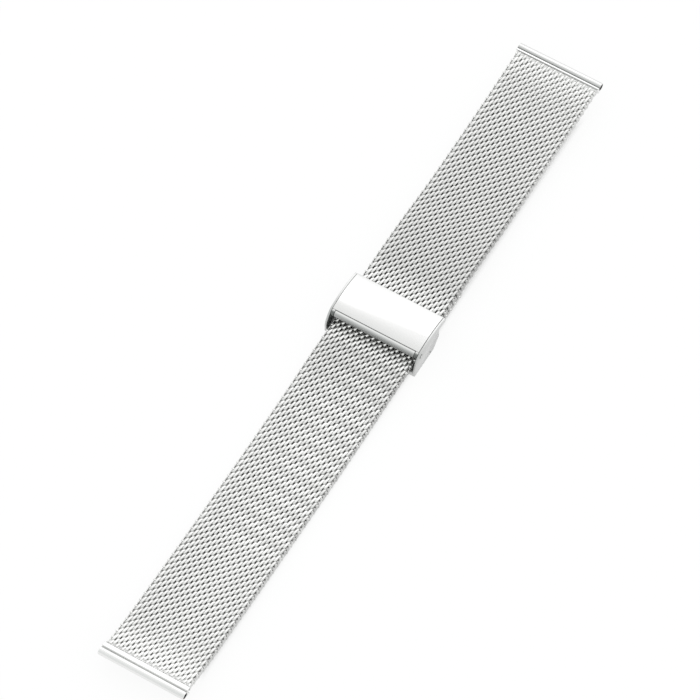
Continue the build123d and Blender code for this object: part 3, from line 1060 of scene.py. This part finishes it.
class BAND_OT_cover(bpy.types.Operator):
    """Form the arched safety cover"""

    bl_idname = "band.cover"
    bl_label = "Safety cover"

    def execute(self, context):
        edge = context.scene.band_clasp.edge
        inner = COVER_RADIUS - COVER_SHEET
        top = [p for p in cover_curve(COVER_RADIUS, 60) if from_pin(*p)[0] > GROOVE]
        bottom = [p for p in cover_curve(inner, 60) if from_pin(*p)[0] > GROOVE]
        seat = arc(PIN, GROOVE, from_pin(*top[0])[1], from_pin(*bottom[0])[1], 8)
        outline = top + bottom[::-1] + seat[::-1][1:-1]
        meshes = [prism("sheet", outline, -COVER_HALF, COVER_HALF, edge=edge)]
        rear = PIN[0] + EAR_REAR
        ear = arc(PIN, ROLL_RADIUS, *EAR_TURNS, 24)
        ear += [(rear, cover_height(rear, inner) + up) for up in (EAR_LOW, EAR_HIGH)]
        ear += [(PIN[0] + EAR_FRONT, cover_height(PIN[0], COVER_RADIUS) - EAR_UNDER)]
        for sign in (-1, 1):
            sides = sorted((sign * COVER_HALF, sign * (COVER_HALF - EAR_WIDE)))
            meshes.append(prism("ear", ear, *sides, edge=edge * EAR_EDGE))
        cover = join("cover_arched", meshes)
        shade(cover.data, under_roll)
        dress(cover, "mirror_finish", "cover", ["cover"])
        return {"FINISHED"}


class BAND_OT_hook_lever(bpy.types.Operator):
    """Form the hook lever with its knuckle and claw"""

    bl_idname = "band.hook_lever"
    bl_label = "Hook lever"

    def execute(self, context):
        edge = context.scene.band_clasp.edge
        knuckle = arc(PIN, ROLL_RADIUS, *LEVER_TURNS, 48)
        body = knuckle + [(LEVER_REAR, PIN[1] - LEVER_THIN), (LEVER_REAR, PIN[1] + LEVER_THIN)]
        hook = [
            (LEVER_REAR - HOOK_WIDE, HOOK_LOW),
            (LEVER_REAR, HOOK_LOW),
            (LEVER_REAR, PIN[1] + LEVER_THIN * 0.5),
            (LEVER_REAR - HOOK_WIDE, PIN[1] + LEVER_THIN * 0.5),
        ]
        meshes = [
            prism("knuckle", body, -LEVER_HALF, LEVER_HALF, edge=edge),
            prism("claw", hook, -CLAW_HALF, CLAW_HALF, edge=edge),
        ]
        lever = join("hook_lever_formed", meshes)
        shade(lever.data, under_roll)
        dress(lever, "mirror_finish", "lever", ["hook_lever"])
        return {"FINISHED"}


class BAND_OT_pins(bpy.types.Operator):
    """Turn the two hinge pins with their domed ends"""

    bl_idname = "band.pins"
    bl_label = "Hinge pins"

    def execute(self, context):
        self.turn("main_hinge_pin", PIN, PIN_RADIUS)
        self.turn("flap_hinge_pin", FLAP_PIN, FLAP_PIN_RADIUS)
        return {"FINISHED"}

    def turn(self, node, centre, radius):
        """One pin, with a painted-shade ring where its end sits in the wall."""
        mesh = pin(node + "_turned", centre, radius, OUTER_HALF)
        obj = link(bpy.data.objects.new(node + "_turned", mesh))

        def ring(p):
            away = math.hypot(p.y - centre[0], p.z - centre[1])
            return ramp(away, radius * PIN_RING[0], radius * PIN_RING[1])

        shade(mesh, ring)
        dress(obj, "satin_finish", "clasp", [node])


class BAND_OT_small_parts(bpy.types.Operator):
    """Give the flap, the cross bar and the end frame their finish"""

    bl_idname = "band.small_parts"
    bl_label = "Flap and end frame"

    def execute(self, context):
        finish = finish_of("satin_finish")
        for node in ("cross_bar", "locking_flap", "short_end_frame"):
            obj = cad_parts[node]
            if not obj.material_slots:
                obj.data.materials.append(finish)
            for slot in obj.material_slots:
                slot.material = finish
        return {"FINISHED"}


# The stage: the camera's lens, the sky from the near side to the far side, and the floor
LENS, SENSOR = 292.6, 36.0
CLIP = (0.05, 20)
SKY = (
    (0.05, (0.77, 0.785, 0.78)),
    (0.20, (0.78, 0.795, 0.79)),
    (0.38, (0.87, 0.88, 0.87)),
    (0.52, (0.93, 0.935, 0.93)),
    (0.66, (1.0, 1.0, 1.0)),
)
SKY_STRENGTH = 1.12
LAMP_PLACE, LAMP_SIZE, LAMP_POWER = (-0.35, 0.9, 0.9), 1.1, 1.6
WHITE = (1, 1, 1, 1)
FLOOR_COLOUR = (0.96, 0.96, 0.96, 1)
FLOOR_SIZE, FLOOR_LOW = 3.0, -0.05 * MM
FLOOR_GLOW = 0.9

# The floor's shadow is whole within these distances along X and Y, and fades over the second ones
SHADOW = (("X", 7.8 * MM, 2.5 * MM), ("Y", 70 * MM, 8 * MM))


class BAND_OT_stage(bpy.types.Operator):
    """Make the camera, the lights and the floor"""

    bl_idname = "band.stage"
    bl_label = "Stage"

    def execute(self, context):
        stage = context.scene.band_stage
        a, e = stage.azimuth, stage.elevation
        back = Vector((math.sin(a) * math.cos(e), -math.cos(a) * math.cos(e), math.sin(e)))
        right = Vector((math.cos(a), math.sin(a), 0))
        data = bpy.data.cameras.new("camera")
        data.lens = LENS
        data.sensor_width = SENSOR
        data.clip_start, data.clip_end = CLIP
        camera = link(bpy.data.objects.new("camera", data))
        turn = Matrix((right, back.cross(right), back)).transposed().to_4x4()
        place = Vector(stage.target) + back * stage.distance
        camera.matrix_world = Matrix.Translation(place) @ turn
        context.scene.camera = camera
        context.scene.view_settings.view_transform = "Standard"
        self.world(context)
        self.floor()
        self.lamp()
        return {"FINISHED"}

    def world(self, context):
        """White where it is seen, and shaded from the bright far side to the dim near side."""
        world = bpy.data.worlds.new("studio")
        world.use_nodes = True
        tree = world.node_tree
        way = add_node(tree, "ShaderNodeTexCoord").outputs["Generated"]
        parts = add_node(tree, "ShaderNodeSeparateXYZ", {0: way})
        span = map_range(tree, parts.outputs["Y"], -1.0, 1.0)
        sky = add_node(tree, "ShaderNodeValToRGB", {"Fac": span.outputs["Result"]})
        sky.color_ramp.interpolation = "EASE"
        while len(sky.color_ramp.elements) < len(SKY):
            sky.color_ramp.elements.new(0.5)
        for element, (place, colour) in zip(sky.color_ramp.elements, SKY):
            element.position = place
            element.color = (*colour, 1)
        light = tree.nodes["Background"]
        set_inputs(tree, light, {"Color": sky.outputs["Color"], "Strength": SKY_STRENGTH})
        seen = add_node(tree, "ShaderNodeBackground", {"Color": WHITE, "Strength": 1.0})
        path = add_node(tree, "ShaderNodeLightPath").outputs
        share = work_out(tree, "MAXIMUM", path["Is Camera Ray"], path["Is Transmission Ray"])
        show_mix(tree, share, light, seen, "World Output")
        context.scene.world = world

    def floor(self):
        """A white floor that keeps its shadow, in full under the band and softly round it."""
        mesh = bpy.data.meshes.new("floor")
        corners = ((-1, -1), (1, -1), (1, 1), (-1, 1))
        points = [(x * FLOOR_SIZE, y * FLOOR_SIZE, FLOOR_LOW) for x, y in corners]
        mesh.from_pydata(points, [], [(0, 1, 2, 3)])
        floor = link(bpy.data.objects.new("floor", mesh))
        material = bpy.data.materials.new("pale_floor")
        material.use_nodes = True
        tree = material.node_tree
        shader = tree.nodes["Principled BSDF"]
        matt = {"Base Color": FLOOR_COLOUR, "Roughness": 0.9, "Specular IOR Level": 0.0}
        set_inputs(tree, shader, matt)
        glow = add_node(tree, "ShaderNodeEmission", {"Color": WHITE, "Strength": 1.0})
        path = add_node(tree, "ShaderNodeLightPath").outputs
        seen = work_out(tree, "MAXIMUM", path["Is Camera Ray"], path["Is Glossy Ray"])
        seen = work_out(tree, "MAXIMUM", seen, path["Is Transmission Ray"])
        place = add_node(tree, "ShaderNodeTexCoord").outputs["Object"]
        parts = add_node(tree, "ShaderNodeSeparateXYZ", {0: place}).outputs
        sides = []
        for axis, reach, fade in SHADOW:
            away = work_out(tree, "ABSOLUTE", parts[axis])
            side = map_range(tree, away, reach, reach + fade, interpolation_type="SMOOTHSTEP")
            sides.append(side.outputs["Result"])
        share = work_out(tree, "MULTIPLY", seen, work_out(tree, "MAXIMUM", *sides))
        share = work_out(tree, "MULTIPLY", share, FLOOR_GLOW)
        show_mix(tree, share, shader, glow, "Material Output")
        mesh.materials.append(material)

    def lamp(self):
        """A square lamp that faces the band."""
        data = bpy.data.lights.new("softbox", "AREA")
        data.shape = "SQUARE"
        data.size = LAMP_SIZE
        data.energy = LAMP_POWER
        lamp = link(bpy.data.objects.new("softbox", data))
        lamp.location = LAMP_PLACE
        lamp.rotation_euler = (-Vector(LAMP_PLACE)).to_track_quat("-Z", "Y").to_euler()


class BAND_PT_panel(bpy.types.Panel):
    """Sizes and steps of the watch band"""

    bl_idname = "BAND_PT_panel"
    bl_label = "Watch Band"
    bl_space_type = "VIEW_3D"
    bl_region_type = "UI"
    bl_category = "Watch Band"

    def draw(self, context):
        layout = self.layout
        for owner in (context.scene.band_mesh, context.scene.band_clasp, context.scene.band_stage):
            box = layout.box()
            for name in owner.__annotations__:
                box.prop(owner, name)
        for step in STEPS:
            layout.operator(step.bl_idname)


STEPS = (
    BAND_OT_stage,
    BAND_OT_long_mesh,
    BAND_OT_short_mesh,
    BAND_OT_end_bars,
    BAND_OT_clasp_base,
    BAND_OT_cover,
    BAND_OT_hook_lever,
    BAND_OT_pins,
    BAND_OT_small_parts,
)
CLASSES = (MeshSettings, ClaspSettings, StageSettings, *STEPS, BAND_PT_panel)


def register():
    for cls in CLASSES:
        bpy.utils.register_class(cls)
    bpy.types.Scene.band_mesh = PointerProperty(type=MeshSettings)
    bpy.types.Scene.band_clasp = PointerProperty(type=ClaspSettings)
    bpy.types.Scene.band_stage = PointerProperty(type=StageSettings)


def unregister():
    del bpy.types.Scene.band_mesh
    del bpy.types.Scene.band_clasp
    del bpy.types.Scene.band_stage
    for cls in reversed(CLASSES):
        bpy.utils.unregister_class(cls)


def main():
    register()
    bpy.ops.band.stage()
    bpy.ops.band.long_mesh()
    bpy.ops.band.short_mesh()
    bpy.ops.band.end_bars()
    bpy.ops.band.clasp_base()
    bpy.ops.band.cover()
    bpy.ops.band.hook_lever()
    bpy.ops.band.pins()
    bpy.ops.band.small_parts()


if __name__ == "__main__":
    main()
